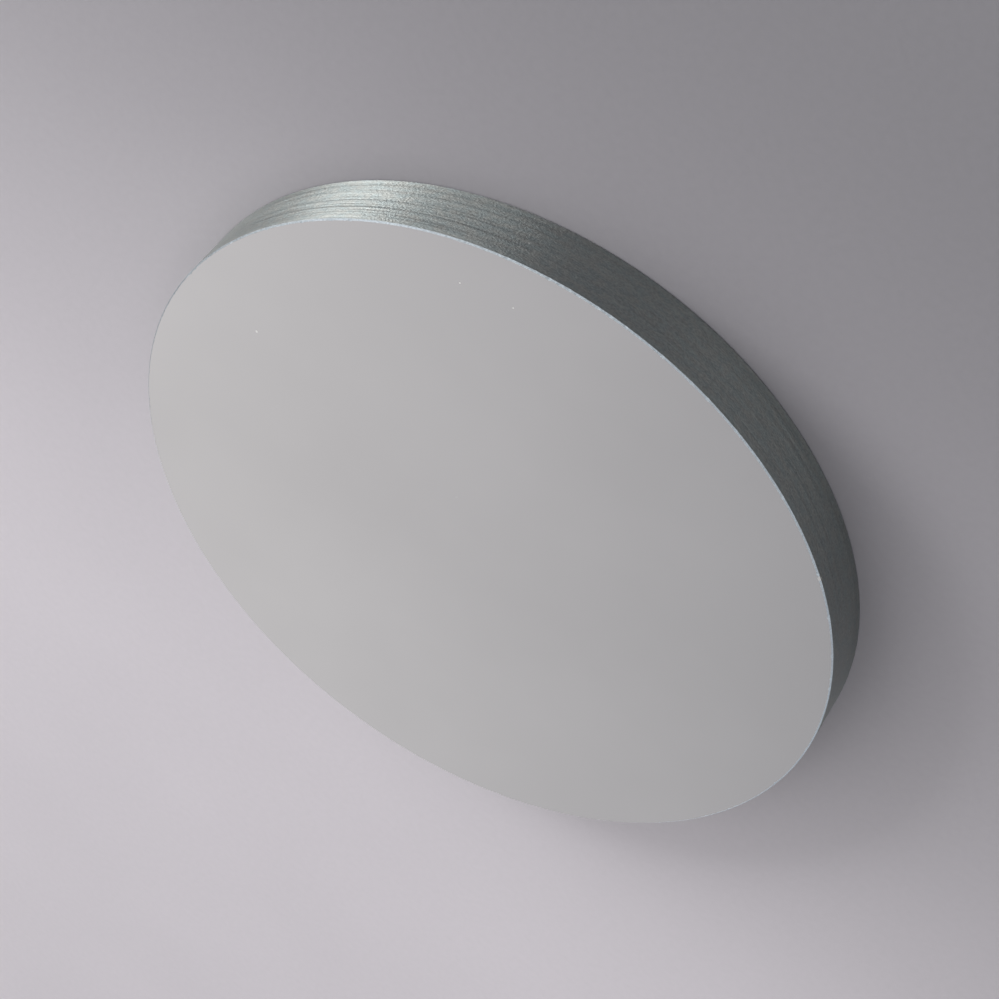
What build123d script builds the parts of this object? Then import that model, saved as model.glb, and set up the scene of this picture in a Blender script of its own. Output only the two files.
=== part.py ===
from build123d import *
import os

# Plane-parallel window for infrared optics: one disc of polished crystal, with
# a finely ground rim. It lies on its back face, with +Z along the optical axis
# and its origin at the centre of the back face.
# Sizes are in millimetres and angles in degrees.

# The blank, ground round and lapped to its thickness
diameter = 35.0
thickness = 3.0

# The safety bevels at 45 degrees, where each polished face meets the rim
front_bevel = 0.06
back_bevel = 0.06

# The shell-shaped chip knocked out of the front edge
chip_radius = 0.15
chip_bearing = -134.4  # from +X towards +Y, seen from the front
chip_standoff = 0.04  # from the rim out to the middle of the scoop

radius = diameter / 2

with BuildPart() as window:
    # The round blank
    with BuildSketch(Plane.XY):
        Circle(radius)
    extrude(amount=thickness)

    # A bevel around each face
    chamfer(window.edges().group_by(Axis.Z)[-1], front_bevel)
    chamfer(window.edges().group_by(Axis.Z)[0], back_bevel)

    # The chip, a scoop centred level with the front face and just off the rim
    with Locations(Plane.XY.offset(thickness)):
        with PolarLocations(radius + chip_standoff, 1, start_angle=chip_bearing):
            Sphere(chip_radius, mode=Mode.SUBTRACT)

window.part.label = "window"
os.makedirs("parts", exist_ok=True)
export_step(window.part, "parts/window.step")
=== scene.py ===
import math

import bpy
import numpy as np
from mathutils import Matrix, Vector


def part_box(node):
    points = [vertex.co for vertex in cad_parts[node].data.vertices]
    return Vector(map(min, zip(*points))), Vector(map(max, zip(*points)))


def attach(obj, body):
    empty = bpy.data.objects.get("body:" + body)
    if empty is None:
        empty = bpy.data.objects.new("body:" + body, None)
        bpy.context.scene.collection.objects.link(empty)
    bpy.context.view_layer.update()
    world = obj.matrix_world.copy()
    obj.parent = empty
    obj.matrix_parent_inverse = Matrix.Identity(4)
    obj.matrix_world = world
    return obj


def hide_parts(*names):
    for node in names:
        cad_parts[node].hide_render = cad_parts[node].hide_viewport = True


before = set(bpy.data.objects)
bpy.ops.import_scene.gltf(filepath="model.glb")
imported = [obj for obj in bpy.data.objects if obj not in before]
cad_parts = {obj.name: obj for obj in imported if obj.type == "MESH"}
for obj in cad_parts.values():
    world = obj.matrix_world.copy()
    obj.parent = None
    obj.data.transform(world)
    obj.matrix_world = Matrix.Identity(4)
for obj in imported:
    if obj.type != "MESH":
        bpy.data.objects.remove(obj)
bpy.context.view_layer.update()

# ---------------------------------------------------------------------------
# The window: one flat disc of germanium, cored out of a grown boule. Its rim
# is ground round on a wheel, both edges are bevelled, and the two faces are
# lapped and polished last. It is a single piece, and lies on its back face.
# ---------------------------------------------------------------------------
MM = 0.001
low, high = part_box("window")
RADIUS = (high.x - low.x) / 2
THICKNESS = high.z - low.z
BEVEL = 0.06 * MM
MAKING_SEED = 7
ROUND_STEPS = 1440  # columns of the mesh around the disc
CHIP_STEPS = 44  # finer ones, across the chipped place
CHIP_STRETCH = 2.0  # how far they reach each way, in radii of the chip
CHIP_CLEAR = 1.03  # the even columns keep this much further off
SHARP_ANGLE = math.radians(30)
FACE_RINGS = (3.0, 8.0, 12.5, 15.5, 16.9)  # radii in mm, from the middle out

# The grinding wheel has left shallow rings: how far each lies below the front
# face, how wide it is and how deep, in mm.
WHEEL_RINGS = (
    (0.15, 0.09, 0.0024),
    (0.37, 0.12, 0.0040),
    (0.56, 0.12, 0.0050),
    (0.73, 0.10, 0.0034),
    (0.97, 0.14, 0.0070),
    (1.14, 0.10, 0.0036),
    (1.47, 0.14, 0.0052),
    (1.64, 0.10, 0.0026),
    (2.15, 0.16, 0.0034),
    (2.58, 0.18, 0.0036),
)
RIM_STEP = 0.062 * MM  # between two rows of the rim's mesh
RING_DEEPEST = 0.0070 * MM

# The wheel also wavered a little, and lapping the bevels has broken tiny flakes
# off their edges. Waves are the fewest and the most around the disc, and how many
# are added up.
WAVER, WAVER_WAVES = 0.0003 * MM, (20, 400, 16)
BREAK_WAVES = (90, 420, 24)
BACK_BREAK, BACK_FLAKES, BACK_DEEPEST = 0.006 * MM, 90, 0.045 * MM
FRONT_BREAK, FRONT_FLAKES, FRONT_DEEPEST = 0.007 * MM, 190, 0.05 * MM
FLAKE_HALF_FROM, FLAKE_HALF_TO = 0.04 * MM, 0.12 * MM
FLAKE_SMALLEST = 0.2  # share of the deepest, before it is squared
FLAKE_DROP = 0.3  # how far a break runs down the rim, as a share

# A knock has flaked one shell-shaped chip out of the front edge.
CHIP_BEARING = math.radians(-134.4)
CHIP_RADIUS = 0.15 * MM
CHIP_STANDOFF = 0.04 * MM
CHIP_RIPPLES = 3
CHIP_RIPPLE = 0.004 * MM


def bearings():
    """The angles of the mesh's columns, closer together across the chip."""
    even = np.linspace(-math.pi, math.pi, ROUND_STEPS, endpoint=False)
    reach = CHIP_STRETCH * CHIP_RADIUS / RADIUS
    fine = CHIP_BEARING + np.linspace(-reach, reach, CHIP_STEPS)
    clear = np.abs(even - CHIP_BEARING) > reach * CHIP_CLEAR
    return np.sort(np.concatenate([even[clear], fine]))


def wander(angles, rng, waves):
    """A smooth unevenness around the disc, from -1 to 1, that closes on itself."""
    fewest, most, count = waves
    total = np.zeros_like(angles)
    for turns in rng.integers(fewest, most, count):
        total += np.sin(turns * angles + rng.uniform(0, 2 * math.pi))
    return total / np.abs(total).max()


def ring_cut(below_front):
    """How far the wheel's rings cut in, this far below the front face."""
    cut = 0.0
    for place, width, deep in WHEEL_RINGS:
        off = (below_front / MM - place) / (width / 2)
        cut = max(cut, deep * MM * max(0.0, 1 - off * off))
    return cut


def nibbles(angles, rng, usual, count, deepest):
    """How far small flakes have broken a bevel back into its face."""
    back = usual * (0.5 + 0.5 * wander(angles, rng, BREAK_WAVES))
    for _ in range(count):
        place = rng.uniform(-math.pi, math.pi)
        half = rng.uniform(FLAKE_HALF_FROM, FLAKE_HALF_TO) / RADIUS
        deep = deepest * rng.uniform(FLAKE_SMALLEST, 1.0) ** 2
        off = (angles - place + math.pi) % (2 * math.pi) - math.pi
        back = np.maximum(back, deep * np.clip(1 - (off / half) ** 2, 0, 1))
    return back


def disc_rows(angles):
    """The disc's rows, from the back's middle round the rim to the front's middle.

    Each row is (radius, height, ring, finish): how far out and up it runs at each
    bearing, how deep in a wheel ring it lies from 0 to 1, and the finish of the
    strip of faces that ends on it."""
    rng = np.random.default_rng(MAKING_SEED)
    ones = np.ones_like(angles)
    back_break = nibbles(angles, rng, BACK_BREAK, BACK_FLAKES, BACK_DEEPEST)
    front_break = nibbles(angles, rng, FRONT_BREAK, FRONT_FLAKES, FRONT_DEEPEST)
    rows = [(r * MM * ones, 0.0 * ones, 0.0, "face") for r in FACE_RINGS]
    rows.append((RADIUS - BEVEL - back_break, 0.0 * ones, 0.0, "face"))
    rows.append((RADIUS * ones, BEVEL + FLAKE_DROP * back_break, 0.0, "bevel"))
    heights = np.arange(BEVEL + RIM_STEP, THICKNESS - BEVEL - RIM_STEP / 2, RIM_STEP)
    for height in heights:
        waver = WAVER * (1 + wander(angles, rng, WAVER_WAVES))
        cut = ring_cut(THICKNESS - height)
        rows.append((RADIUS - cut - waver, height * ones, cut / RING_DEEPEST, "rim"))
    rows.append((RADIUS * ones, THICKNESS - BEVEL - FLAKE_DROP * front_break, 0.0, "rim"))
    rows.append((RADIUS - BEVEL - front_break, THICKNESS * ones, 0.0, "bevel"))
    rows += [(r * MM * ones, THICKNESS * ones, 0.0, "face") for r in reversed(FACE_RINGS)]
    return rows


def knock_chip(points):
    """Pushes the metal inside the chip's scoop back to a rippled shell surface."""
    reach = RADIUS + CHIP_STANDOFF
    out = (reach * math.cos(CHIP_BEARING), reach * math.sin(CHIP_BEARING), THICKNESS)
    middle = np.array(out)
    away = points - middle
    far = np.linalg.norm(away, axis=1)
    inside = far < CHIP_RADIUS
    ripple = CHIP_RIPPLE * np.cos(2 * math.pi * CHIP_RIPPLES * far[inside] / CHIP_RADIUS)
    shell = CHIP_RADIUS - CHIP_RIPPLE + ripple
    points[inside] = middle + away[inside] * (shell / far[inside])[:, None]
    return inside


FINISHES = ("face", "rim", "bevel", "chip")  # the order of the disc's materials


def make_disc():
    """The whole window as one closed mesh, with a material slot for each finish."""
    angles = bearings()
    rows = disc_rows(angles)
    columns = len(angles)
    points = np.concatenate(
        [np.stack([r * np.cos(angles), r * np.sin(angles), z], 1) for r, z, _, _ in rows]
    )
    chipped = knock_chip(points)
    in_ring = np.repeat([row[2] for row in rows], columns).tolist() + [0.0, 0.0]
    points = np.concatenate([points, [[0, 0, 0], [0, 0, THICKNESS]]])
    back_middle, front_middle = len(points) - 2, len(points) - 1
    last = (len(rows) - 1) * columns
    faces, finishes = [], []
    for column in range(columns):
        after = (column + 1) % columns
        faces.append((back_middle, after, column))
        faces.append((front_middle, last + column, last + after))
        finishes += ["face", "face"]
        for row in range(len(rows) - 1):
            start, end = row * columns, (row + 1) * columns
            corners = (start + column, start + after, end + after, end + column)
            faces.append(corners)
            finishes.append("chip" if all(chipped[c] for c in corners) else rows[row + 1][3])
    mesh = bpy.data.meshes.new("window_disc")
    mesh.from_pydata(points.tolist(), [], faces)
    mesh.polygons.foreach_set("material_index", [FINISHES.index(f) for f in finishes])
    mesh.polygons.foreach_set("use_smooth", [True] * len(faces))
    mesh.attributes.new("wheel_ring", "FLOAT", "POINT").data.foreach_set("value", in_ring)
    mesh.update()
    mesh.set_sharp_from_angle(angle=SHARP_ANGLE)
    disc = bpy.data.objects.new("window_disc", mesh)
    bpy.context.scene.collection.objects.link(disc)
    return disc


disc = make_disc()

# The surfaces' patterns are node groups, which each material uses with its own
# values. A noise texture stays within about a quarter of its middle, 0.5.
NOISE_SPREAD = 0.25
GRIT_DETAIL, DRIFT_DETAIL = 2.0, 3.0
SPECK_CORE, SPECK_EDGE = 0.25, 0.5  # where a speck starts and ends to fade


def new_group(name, takes, gives):
    """A node group with its inputs (name, default) and outputs (name, kind)."""
    group = bpy.data.node_groups.new(name, "ShaderNodeTree")
    for label, default in takes:
        kind = "NodeSocketColor" if isinstance(default, tuple) else "NodeSocketFloat"
        socket = group.interface.new_socket(label, in_out="INPUT", socket_type=kind)
        socket.default_value = default
    for label, kind in gives:
        group.interface.new_socket(label, in_out="OUTPUT", socket_type=kind)
    taken = group.nodes.new("NodeGroupInput").outputs
    given = group.nodes.new("NodeGroupOutput").inputs
    return group, taken, given


def place_group(nodes, group, **values):
    """The group as a node of a material, with this material's values."""
    node = nodes.new("ShaderNodeGroup")
    node.node_tree = group
    for label, value in values.items():
        node.inputs[label].default_value = value
    return node


def sum_up(tree, operation, first, second, third=None):
    """A Math node on sockets or plain numbers; gives its output socket."""
    node = tree.nodes.new("ShaderNodeMath")
    node.operation = operation
    for socket, value in zip(node.inputs, (first, second, third)):
        if isinstance(value, bpy.types.NodeSocket):
            tree.links.new(value, socket)
        elif value is not None:
            socket.default_value = value
    return node.outputs[0]


def make_grit_group():
    """Grinding marks: a speckle of its own length around the disc and along its axis."""
    group, taken, given = new_group(
        "grit", [("Around", 0.1 * MM), ("Along", 0.1 * MM)], [("Level", "NodeSocketFloat")]
    )
    place = group.nodes.new("ShaderNodeTexCoord")
    split = group.nodes.new("ShaderNodeSeparateXYZ")
    group.links.new(place.outputs["Object"], split.inputs[0])
    joined = group.nodes.new("ShaderNodeCombineXYZ")
    for axis, size in (("X", "Around"), ("Y", "Around"), ("Z", "Along")):
        scaled = sum_up(group, "DIVIDE", split.outputs[axis], taken[size])
        group.links.new(scaled, joined.inputs[axis])
    noise = group.nodes.new("ShaderNodeTexNoise")
    noise.inputs["Scale"].default_value = 1.0
    noise.inputs["Detail"].default_value = GRIT_DETAIL
    group.links.new(joined.outputs[0], noise.inputs["Vector"])
    group.links.new(noise.outputs["Fac"], given["Level"])
    return group


def make_tone_group():
    """Slow drift of a surface's tone, lighter and darker by Amount over Patch."""
    group, taken, given = new_group(
        "tone_drift",
        [("Colour", (0.5, 0.5, 0.5, 1)), ("Patch", 5 * MM), ("Amount", 0.05)],
        [("Colour", "NodeSocketColor")],
    )
    place = group.nodes.new("ShaderNodeTexCoord")
    noise = group.nodes.new("ShaderNodeTexNoise")
    noise.inputs["Detail"].default_value = DRIFT_DETAIL
    group.links.new(place.outputs["Object"], noise.inputs["Vector"])
    group.links.new(sum_up(group, "DIVIDE", 1.0, taken["Patch"]), noise.inputs["Scale"])
    off = sum_up(group, "SUBTRACT", noise.outputs["Fac"], 0.5)
    swing = sum_up(group, "MULTIPLY", off, taken["Amount"])
    factor = sum_up(group, "MULTIPLY_ADD", swing, 1 / NOISE_SPREAD, 1.0)
    tinted = group.nodes.new("ShaderNodeVectorMath")
    tinted.operation = "SCALE"
    group.links.new(taken["Colour"], tinted.inputs[0])
    group.links.new(factor, tinted.inputs["Scale"])
    group.links.new(tinted.outputs[0], given["Colour"])
    return group


def make_speck_group():
    """Scattered specks: one in Share of the cells, Spacing apart, up to Size across."""
    group, taken, given = new_group(
        "specks", [("Spacing", 1 * MM), ("Share", 0.2), ("Size", 0.05 * MM)],
        [("Mask", "NodeSocketFloat")],
    )
    place = group.nodes.new("ShaderNodeTexCoord")
    cells = group.nodes.new("ShaderNodeTexVoronoi")
    group.links.new(place.outputs["Object"], cells.inputs["Vector"])
    group.links.new(sum_up(group, "DIVIDE", 1.0, taken["Spacing"]), cells.inputs["Scale"])
    luck = group.nodes.new("ShaderNodeSeparateColor")
    group.links.new(cells.outputs["Color"], luck.inputs[0])
    chosen = sum_up(group, "LESS_THAN", luck.outputs[0], taken["Share"])
    width = sum_up(group, "MULTIPLY", luck.outputs[1], taken["Size"])
    reach = sum_up(group, "DIVIDE", width, taken["Spacing"])
    near = group.nodes.new("ShaderNodeMapRange")
    near.interpolation_type = "SMOOTHSTEP"
    near.inputs["To Min"].default_value = 1.0
    near.inputs["To Max"].default_value = 0.0
    group.links.new(cells.outputs["Distance"], near.inputs["Value"])
    group.links.new(sum_up(group, "MULTIPLY", reach, SPECK_CORE), near.inputs["From Min"])
    group.links.new(sum_up(group, "MULTIPLY", reach, SPECK_EDGE), near.inputs["From Max"])
    group.links.new(sum_up(group, "MULTIPLY", near.outputs[0], chosen), given["Mask"])
    return group


grit = make_grit_group()
tone_drift = make_tone_group()
specks = make_speck_group()


def new_material(name):
    """A material with its node tree and its shader."""
    material = bpy.data.materials.new(name)
    material.use_nodes = True
    tree = material.node_tree
    return material, tree, tree.nodes["Principled BSDF"]


def mix_colour(tree, share, first, second):
    """A colour between the socket first and the plain colour second."""
    node = tree.nodes.new("ShaderNodeMix")
    node.data_type = "RGBA"
    tree.links.new(share, node.inputs["Factor"])
    tree.links.new(first, node.inputs["A"])
    node.inputs["B"].default_value = second
    return node.outputs["Result"]


def scale_colour(tree, colour, factor):
    """The colour socket made lighter or darker by the factor socket."""
    node = tree.nodes.new("ShaderNodeVectorMath")
    node.operation = "SCALE"
    tree.links.new(colour, node.inputs[0])
    tree.links.new(factor, node.inputs["Scale"])
    return node.outputs[0]


def add_bump(tree, shader, height, deep):
    """Raises the surface by the height socket, from 0 to 1 over deep metres."""
    bump = tree.nodes.new("ShaderNodeBump")
    bump.inputs["Strength"].default_value = 1.0
    bump.inputs["Distance"].default_value = deep
    tree.links.new(height, bump.inputs["Height"])
    tree.links.new(bump.outputs[0], shader.inputs["Normal"])


# The polished faces: bare germanium, a grey mirror that sends back under half of
# the light. Wiping has left a breath of haze, some dust and a few tiny digs.
POLISHED_COLOUR = (0.442, 0.432, 0.437, 1)
DUST_COLOUR = (0.78, 0.78, 0.76, 1)
DUST_SHOWS = 0.5
POLISHED_SMOOTHEST, HAZE_ROUGHENS, MARKS_ROUGHEN = 0.07, 0.08, 0.6
DIG_MIDDLE = 0.3  # the share of a dig that is equally deep

# Each dig's bearing in degrees, its distance from the middle and half its width in mm.
DIGS = ((-12.1, 13.6, 0.075), (-63.2, 15.25, 0.055), (-72.6, 15.05, 0.05))

polished, tree, shader = new_material("polished_germanium")
tone = place_group(tree.nodes, tone_drift, Colour=POLISHED_COLOUR, Patch=11 * MM, Amount=0.035)
dust = place_group(tree.nodes, specks, Spacing=1.7 * MM, Share=0.10, Size=0.08 * MM)
haze = place_group(tree.nodes, grit, Around=4 * MM, Along=4 * MM)
marks = sum_up(tree, "MULTIPLY", dust.outputs["Mask"], DUST_SHOWS)
place = tree.nodes.new("ShaderNodeTexCoord")
for bearing, out, half in DIGS:
    across, up = math.cos(math.radians(bearing)), math.sin(math.radians(bearing))
    gap = tree.nodes.new("ShaderNodeVectorMath")
    gap.operation = "DISTANCE"
    tree.links.new(place.outputs["Object"], gap.inputs[0])
    gap.inputs[1].default_value = (out * MM * across, out * MM * up, THICKNESS)
    dig = tree.nodes.new("ShaderNodeMapRange")
    dig.interpolation_type = "SMOOTHSTEP"
    tree.links.new(gap.outputs["Value"], dig.inputs["Value"])
    dig.inputs["From Min"].default_value = DIG_MIDDLE * half * MM
    dig.inputs["From Max"].default_value = half * MM
    dig.inputs["To Min"].default_value = 1.0
    dig.inputs["To Max"].default_value = 0.0
    marks = sum_up(tree, "MAXIMUM", marks, dig.outputs[0])
colour = mix_colour(tree, marks, tone.outputs[0], DUST_COLOUR)
tree.links.new(colour, shader.inputs["Base Color"])
shader.inputs["Metallic"].default_value = 1.0
rough = sum_up(tree, "MULTIPLY_ADD", haze.outputs["Level"], HAZE_ROUGHENS, POLISHED_SMOOTHEST)
rough = sum_up(tree, "MULTIPLY_ADD", marks, MARKS_ROUGHEN, rough)
tree.links.new(rough, shader.inputs["Roughness"])
disc.data.materials.append(polished)

# The rim: wheel-ground germanium, left grey. Fine grooves run round it, so light
# is drawn out across them, and the grain shows where a highlight fades.
GROUND_COLOUR = (0.343, 0.358, 0.342, 1)
COOL_COLOUR = (0.315, 0.350, 0.345, 1)
SPARKLE_COLOUR = (0.95, 0.95, 0.92, 1)
COOL_GAIN, COOL_START = 4.0, -1.5  # how sharply the cool mottle sets in, and where
GROUND_DARKEST, STREAKS_LIGHTEN, GRAIN_LIGHTENS, RINGS_LIGHTEN = 0.50, 0.3, 0.7, -0.13
GROUND_SMOOTHEST, STREAKS_ROUGHEN, RINGS_ROUGHEN = 0.295, 0.24, -0.10
GROOVED, ACROSS_GROOVES = 0.95, 0.25  # how one-way the grooves are, and a quarter turn
GROUND_GRAIN_DEPTH = 0.020 * MM

ground, tree, shader = new_material("ground_germanium")
tone = place_group(tree.nodes, tone_drift, Colour=GROUND_COLOUR, Patch=3 * MM, Amount=0.05)
mottle = place_group(tree.nodes, grit, Around=0.5 * MM, Along=0.25 * MM)
streaks = place_group(tree.nodes, grit, Around=3.5 * MM, Along=0.05 * MM)
grain = place_group(tree.nodes, grit, Around=0.12 * MM, Along=0.07 * MM)
sparkles = place_group(tree.nodes, specks, Spacing=0.55 * MM, Share=0.07, Size=0.10 * MM)
ring = tree.nodes.new("ShaderNodeAttribute")
ring.attribute_name = "wheel_ring"
level = sum_up(tree, "MULTIPLY_ADD", streaks.outputs["Level"], STREAKS_LIGHTEN, GROUND_DARKEST)
level = sum_up(tree, "MULTIPLY_ADD", grain.outputs["Level"], GRAIN_LIGHTENS, level)
level = sum_up(tree, "MULTIPLY_ADD", ring.outputs["Fac"], RINGS_LIGHTEN, level)
cool = sum_up(tree, "MULTIPLY_ADD", mottle.outputs["Level"], COOL_GAIN, COOL_START)
colour = mix_colour(tree, cool, tone.outputs[0], COOL_COLOUR)
colour = scale_colour(tree, colour, level)
colour = mix_colour(tree, sparkles.outputs["Mask"], colour, SPARKLE_COLOUR)
tree.links.new(colour, shader.inputs["Base Color"])
shader.inputs["Metallic"].default_value = 1.0
rough = sum_up(tree, "MULTIPLY_ADD", streaks.outputs["Level"], STREAKS_ROUGHEN, GROUND_SMOOTHEST)
rough = sum_up(tree, "MULTIPLY_ADD", ring.outputs["Fac"], RINGS_ROUGHEN, rough)
tree.links.new(rough, shader.inputs["Roughness"])
shader.inputs["Anisotropic"].default_value = GROOVED
shader.inputs["Anisotropic Rotation"].default_value = ACROSS_GROOVES
around = tree.nodes.new("ShaderNodeTangent")
around.direction_type = "RADIAL"
around.axis = "Z"
tree.links.new(around.outputs["Tangent"], shader.inputs["Tangent"])
add_bump(tree, shader, grain.outputs["Level"], GROUND_GRAIN_DEPTH)
disc.data.materials.append(ground)

# The bevels: two narrow bands lapped by hand on a dish. They are left frosted,
# and look paler and bluer than the rim.
BEVELLED_COLOUR = (0.47, 0.52, 0.56, 1)
BEVEL_PAINTED_LIGHT_SLOPE = -0.60  # painted light: how much paler the bevel is painted one radius along X, standing in for the light falling more on that side
BEVELLED_DARKEST, BEVELLED_GRAIN_LIGHTENS = 0.55, 0.9
BEVELLED_SMOOTHEST, BEVELLED_GRAIN_ROUGHENS = 0.5, 0.2
BEVELLED_GRAIN_DEPTH = 0.008 * MM
HALF_METALLIC = 0.5  # frosting scatters part of the light

bevelled, tree, shader = new_material("bevelled_germanium")
tone = place_group(tree.nodes, tone_drift, Colour=BEVELLED_COLOUR, Patch=1.5 * MM, Amount=0.06)
grain = place_group(tree.nodes, grit, Around=0.08 * MM, Along=0.08 * MM)
place = tree.nodes.new("ShaderNodeTexCoord")
split = tree.nodes.new("ShaderNodeSeparateXYZ")
tree.links.new(place.outputs["Object"], split.inputs[0])
# The bevel's colour is painted paler toward one side, as painted light.
painted_side_light = sum_up(tree, "MULTIPLY_ADD", split.outputs["X"], BEVEL_PAINTED_LIGHT_SLOPE / RADIUS, BEVELLED_DARKEST)
level = sum_up(tree, "MULTIPLY_ADD", grain.outputs["Level"], BEVELLED_GRAIN_LIGHTENS, painted_side_light)
tree.links.new(scale_colour(tree, tone.outputs[0], level), shader.inputs["Base Color"])
shader.inputs["Metallic"].default_value = HALF_METALLIC
rough = sum_up(
    tree, "MULTIPLY_ADD", grain.outputs["Level"], BEVELLED_GRAIN_ROUGHENS, BEVELLED_SMOOTHEST
)
tree.links.new(rough, shader.inputs["Roughness"])
add_bump(tree, shader, grain.outputs["Level"], BEVELLED_GRAIN_DEPTH)
disc.data.materials.append(bevelled)

# The chip: fresh broken germanium, brighter than the ground rim around it.
BROKEN_COLOUR = (0.95, 0.95, 0.94, 1)
BROKEN_SMOOTHEST, BROKEN_GRAIN_ROUGHENS = 0.2, 0.3
BROKEN_GRAIN_DEPTH = 0.003 * MM

broken, tree, shader = new_material("broken_germanium")
tone = place_group(tree.nodes, tone_drift, Colour=BROKEN_COLOUR, Patch=0.1 * MM, Amount=0.10)
grain = place_group(tree.nodes, grit, Around=0.03 * MM, Along=0.03 * MM)
tree.links.new(tone.outputs[0], shader.inputs["Base Color"])
shader.inputs["Metallic"].default_value = 0.0
rough = sum_up(
    tree, "MULTIPLY_ADD", grain.outputs["Level"], BROKEN_GRAIN_ROUGHENS, BROKEN_SMOOTHEST
)
tree.links.new(rough, shader.inputs["Roughness"])
add_bump(tree, shader, grain.outputs["Level"], BROKEN_GRAIN_DEPTH)
disc.data.materials.append(broken)

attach(disc, "root")
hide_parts("window")

# ---------------------------------------------------------------------------
# The floor: a large sheet of pale, faintly lilac card with a fine tooth. A pool of
# light to one side of the window is painted into its colour, which greys slowly away from there as
# painted shade.
# ---------------------------------------------------------------------------
FLOOR_RADIUS = 1.5
FLOOR_SIDES = 96
# The pale colour is the card inside a painted pool of light; the far colour is painted shade, and
# the card fades to it between these distances from the pool's middle.
PALE_COLOUR = (0.555, 0.522, 0.555, 1)
FLOOR_PAINTED_SHADE_COLOUR = (0.205, 0.198, 0.213, 1)
LIT_POOL_MIDDLE = (0.0, 120 * MM, 0.0)
FADE_FROM, FADE_TO = 88 * MM, 158 * MM  # away from there
TOOTH_DARKEST, TOOTH_LIGHTENS = 0.97, 0.06
TOOTH_DEPTH = 0.01 * MM

floor_mesh = bpy.data.meshes.new("floor")
turns = np.linspace(0, 2 * math.pi, FLOOR_SIDES, endpoint=False)
edge = [(FLOOR_RADIUS * math.cos(turn), FLOOR_RADIUS * math.sin(turn), 0.0) for turn in turns]
floor_mesh.from_pydata(edge, [], [tuple(range(FLOOR_SIDES))])
floor = bpy.data.objects.new("floor", floor_mesh)
bpy.context.scene.collection.objects.link(floor)

card, tree, shader = new_material("pale_card")
place = tree.nodes.new("ShaderNodeTexCoord")
gap = tree.nodes.new("ShaderNodeVectorMath")
gap.operation = "DISTANCE"
tree.links.new(place.outputs["Object"], gap.inputs[0])
gap.inputs[1].default_value = LIT_POOL_MIDDLE
# How far out of the painted pool of light the floor lies: painted light near, painted shade far.
painted_pool_fade = tree.nodes.new("ShaderNodeMapRange")
painted_pool_fade.interpolation_type = "SMOOTHSTEP"
painted_pool_fade.inputs["From Min"].default_value = FADE_FROM
painted_pool_fade.inputs["From Max"].default_value = FADE_TO
tree.links.new(gap.outputs["Value"], painted_pool_fade.inputs["Value"])
near = place_group(tree.nodes, tone_drift, Colour=PALE_COLOUR, Patch=14 * MM, Amount=0.02)
tooth = place_group(tree.nodes, grit, Around=0.4 * MM, Along=0.4 * MM)
colour = mix_colour(tree, painted_pool_fade.outputs[0], near.outputs[0], FLOOR_PAINTED_SHADE_COLOUR)
level = sum_up(tree, "MULTIPLY_ADD", tooth.outputs["Level"], TOOTH_LIGHTENS, TOOTH_DARKEST)
tree.links.new(scale_colour(tree, colour, level), shader.inputs["Base Color"])
shader.inputs["Roughness"].default_value = 0.9
add_bump(tree, shader, tooth.outputs["Level"], TOOTH_DEPTH)
floor.data.materials.append(card)

# ---------------------------------------------------------------------------
# The light: a low soft lamp and a weaker one beside it that rake the rim, one
# overhead for the bevels, and for the faces to mirror a pale ceiling and a pale
# wall, which is brightest at one side.
# ---------------------------------------------------------------------------
KEY_BEARING, KEY_HEIGHT = math.radians(-6), math.radians(18)
KEY_DISTANCE, KEY_SIDE, KEY_RADIANCE = 0.30, 0.12, 14.5
FILL_BEARING, FILL_HEIGHT = math.radians(-35), math.radians(18)
FILL_DISTANCE, FILL_SIDE, FILL_RADIANCE = 0.30, 0.16, 1.8
TOP_BEARING, TOP_HEIGHT = math.radians(-140), math.radians(58)
TOP_DISTANCE, TOP_SIDE, TOP_RADIANCE = 0.30, 0.24, 0.8


def hang_lamp(name, bearing, height, distance, side, radiance):
    """A square soft lamp that faces the disc from this bearing and height."""
    away = Vector((
        math.cos(bearing) * math.cos(height),
        math.sin(bearing) * math.cos(height),
        math.sin(height),
    ))
    data = bpy.data.lights.new(name, "AREA")
    data.size = side
    data.energy = radiance * side * side * math.pi
    lamp = bpy.data.objects.new(name, data)
    lamp.location = away * distance
    lamp.rotation_mode = "QUATERNION"
    lamp.rotation_quaternion = (-away).to_track_quat("-Z", "Y")
    lamp.visible_camera = False
    bpy.context.scene.collection.objects.link(lamp)


hang_lamp("key_lamp", KEY_BEARING, KEY_HEIGHT, KEY_DISTANCE, KEY_SIDE, KEY_RADIANCE)
hang_lamp("fill_lamp", FILL_BEARING, FILL_HEIGHT, FILL_DISTANCE, FILL_SIDE, FILL_RADIANCE)
hang_lamp("top_lamp", TOP_BEARING, TOP_HEIGHT, TOP_DISTANCE, TOP_SIDE, TOP_RADIANCE)

# The wall is brightest toward WALL_BEARING and WALL_DIP, and the ceiling straight up.
# FROM and TO are how squarely a ray must head there: 1 is straight there. The wall's
# paint looks cool where it is dark, and warms as it brightens.
WALL_BEARING, WALL_DIP = math.radians(40), math.radians(20)
WALL_FROM, WALL_TO = -0.38, 0.73
WALL_DARK, WALL_BRIGHT = 0.22, 1.42
CEILING_FROM, CEILING_TO, CEILING_BRIGHT = 0.72, 0.96, 0.55
COOL_PAINT, WARMING = (0.955, 0.985, 1.045), (0.040, 0.010, -0.045)

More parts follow.
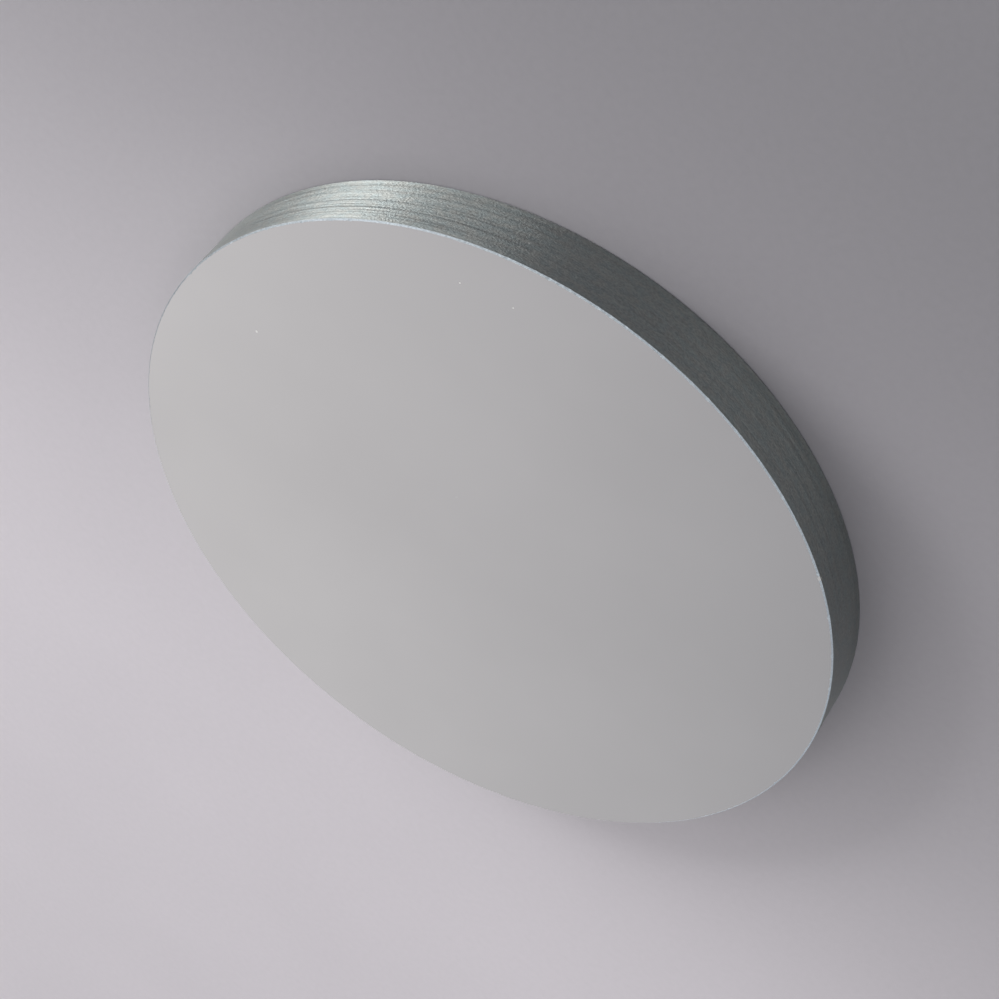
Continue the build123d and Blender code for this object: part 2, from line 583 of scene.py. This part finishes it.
world = bpy.data.worlds.new("studio")
bpy.context.scene.world = world
world.use_nodes = True
tree = world.node_tree
place = tree.nodes.new("ShaderNodeTexCoord")
toward_wall = tree.nodes.new("ShaderNodeVectorMath")
toward_wall.operation = "DOT_PRODUCT"
tree.links.new(place.outputs["Generated"], toward_wall.inputs[0])
toward_wall.inputs[1].default_value = (
    math.cos(WALL_BEARING) * math.cos(WALL_DIP),
    math.sin(WALL_BEARING) * math.cos(WALL_DIP),
    -math.sin(WALL_DIP),
)
wall = tree.nodes.new("ShaderNodeMapRange")
wall.interpolation_type = "SMOOTHSTEP"
wall.inputs["From Min"].default_value = WALL_FROM
wall.inputs["From Max"].default_value = WALL_TO
wall.inputs["To Min"].default_value = WALL_DARK
wall.inputs["To Max"].default_value = WALL_BRIGHT
tree.links.new(toward_wall.outputs["Value"], wall.inputs["Value"])
upward = tree.nodes.new("ShaderNodeSeparateXYZ")
tree.links.new(place.outputs["Generated"], upward.inputs[0])
ceiling = tree.nodes.new("ShaderNodeMapRange")
ceiling.interpolation_type = "SMOOTHSTEP"
ceiling.inputs["From Min"].default_value = CEILING_FROM
ceiling.inputs["From Max"].default_value = CEILING_TO
ceiling.inputs["To Max"].default_value = CEILING_BRIGHT
tree.links.new(upward.outputs["Z"], ceiling.inputs["Value"])
strength = sum_up(tree, "ADD", wall.outputs["Result"], ceiling.outputs["Result"])
paint = tree.nodes.new("ShaderNodeVectorMath")
paint.operation = "MULTIPLY_ADD"
tree.links.new(strength, paint.inputs[0])
paint.inputs[1].default_value = WARMING
paint.inputs[2].default_value = COOL_PAINT
background = tree.nodes["Background"]
tree.links.new(paint.outputs[0], background.inputs["Color"])
tree.links.new(strength, background.inputs["Strength"])

# ---------------------------------------------------------------------------
# The camera: it looks down at the front face from one side, and is turned well
# over on its axis, so that the disc seems to stand on its edge.
# ---------------------------------------------------------------------------
AIM = Vector((0.2525 * MM, -3.8076 * MM, THICKNESS))
CAMERA_DISTANCE = 109.2 * MM
CAMERA_BEARING, CAMERA_HEIGHT = math.radians(-90.168), math.radians(38.125)
CAMERA_ROLL = math.radians(142.644)
LENS, SENSOR = 89.62, 36.0

camera_data = bpy.data.cameras.new("camera")
camera_data.lens = LENS
camera_data.sensor_width = SENSOR
camera_data.clip_start = 5 * MM
camera = bpy.data.objects.new("camera", camera_data)
bpy.context.scene.collection.objects.link(camera)
away = Vector((
    math.cos(CAMERA_BEARING) * math.cos(CAMERA_HEIGHT),
    math.sin(CAMERA_BEARING) * math.cos(CAMERA_HEIGHT),
    math.sin(CAMERA_HEIGHT),
))
camera.location = AIM + away * CAMERA_DISTANCE
level_camera = (-away).to_track_quat("-Z", "Y").to_matrix().to_4x4()
camera.rotation_mode = "QUATERNION"
camera.rotation_quaternion = (level_camera @ Matrix.Rotation(-CAMERA_ROLL, 4, "Z")).to_quaternion()
bpy.context.scene.camera = camera
bpy.context.scene.view_settings.view_transform = "Standard"
